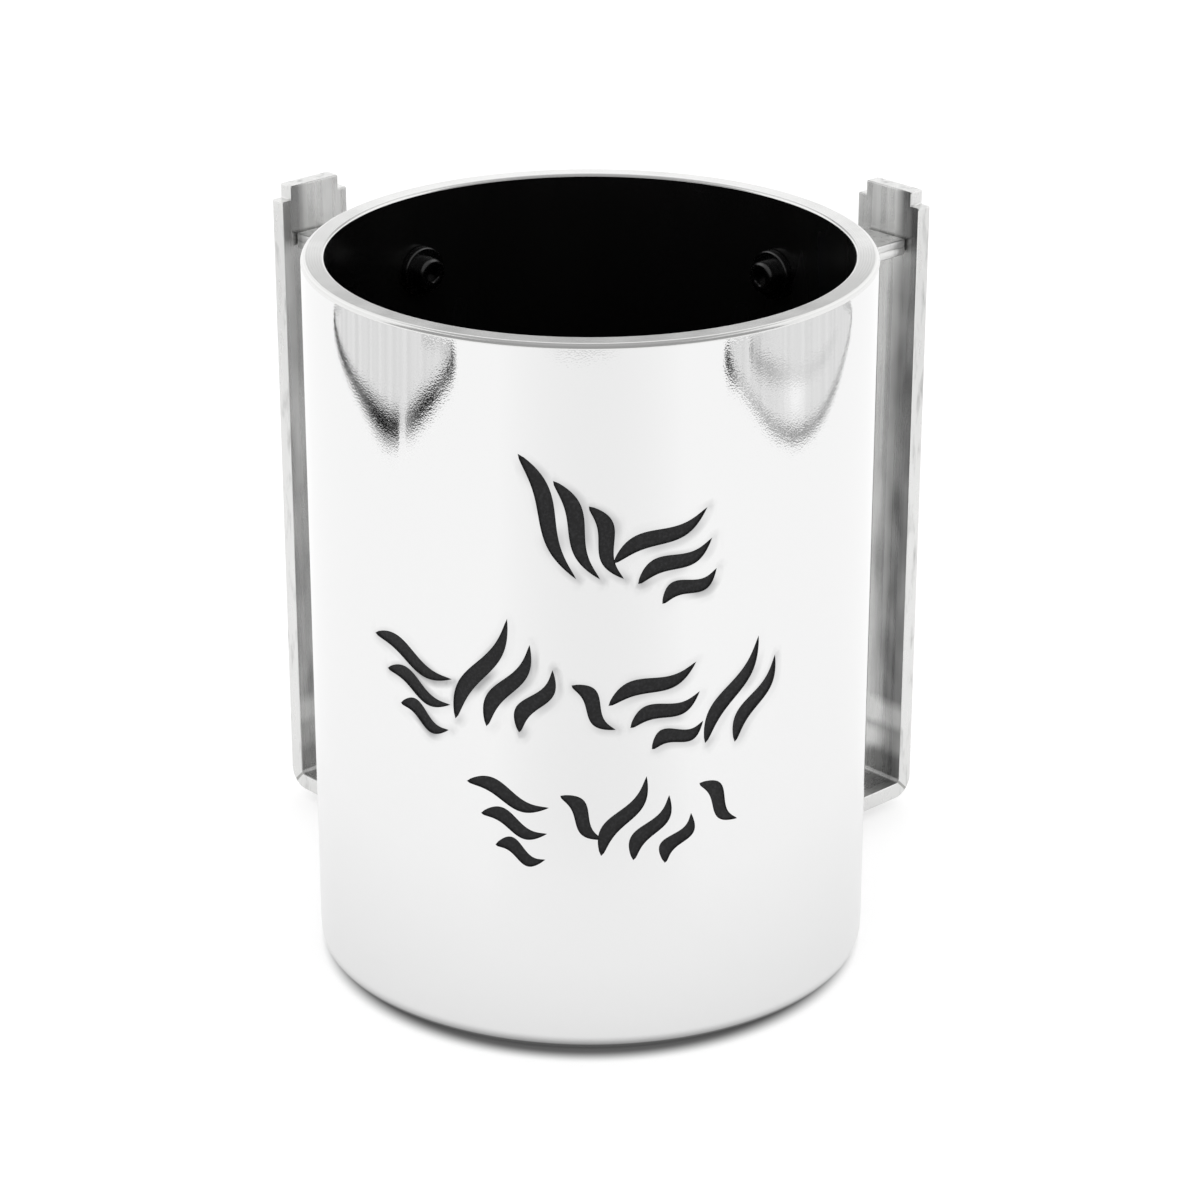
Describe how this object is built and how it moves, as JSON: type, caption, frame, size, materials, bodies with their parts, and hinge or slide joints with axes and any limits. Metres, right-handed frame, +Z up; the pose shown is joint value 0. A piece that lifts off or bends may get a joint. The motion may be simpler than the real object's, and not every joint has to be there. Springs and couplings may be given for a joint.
{
  "type": "washing cup",
  "caption": "Straight-sided metal washing cup, black inside, with flat bar handles standing off the wall a quarter turn apart.",
  "frame": {"origin": "middle of the cup's underside, on the cup's axis", "axes": "+Z up along the cup's axis, -Y to the marked front, the handles behind at 45 degrees either side of +Y"},
  "size_m": [0.1222, 0.1111, 0.1294],
  "materials": {
    "polished_aluminium": "polished bright outside, fine turned rings on the rim, gloss black coating inside",
    "satin_aluminium": "satin, with brighter cut edges",
    "black_steel": "semi-gloss black coating"
  },
  "bodies": {
    "root": {"cup_body": "polished_aluminium", "left_handle_bar": "satin_aluminium", "right_handle_bar": "satin_aluminium", "left_handle_plate": "satin_aluminium", "right_handle_plate": "satin_aluminium", "left_washer": "black_steel", "right_washer": "black_steel", "left_screw": "black_steel", "right_screw": "black_steel"}
  },
  "joints": []
}
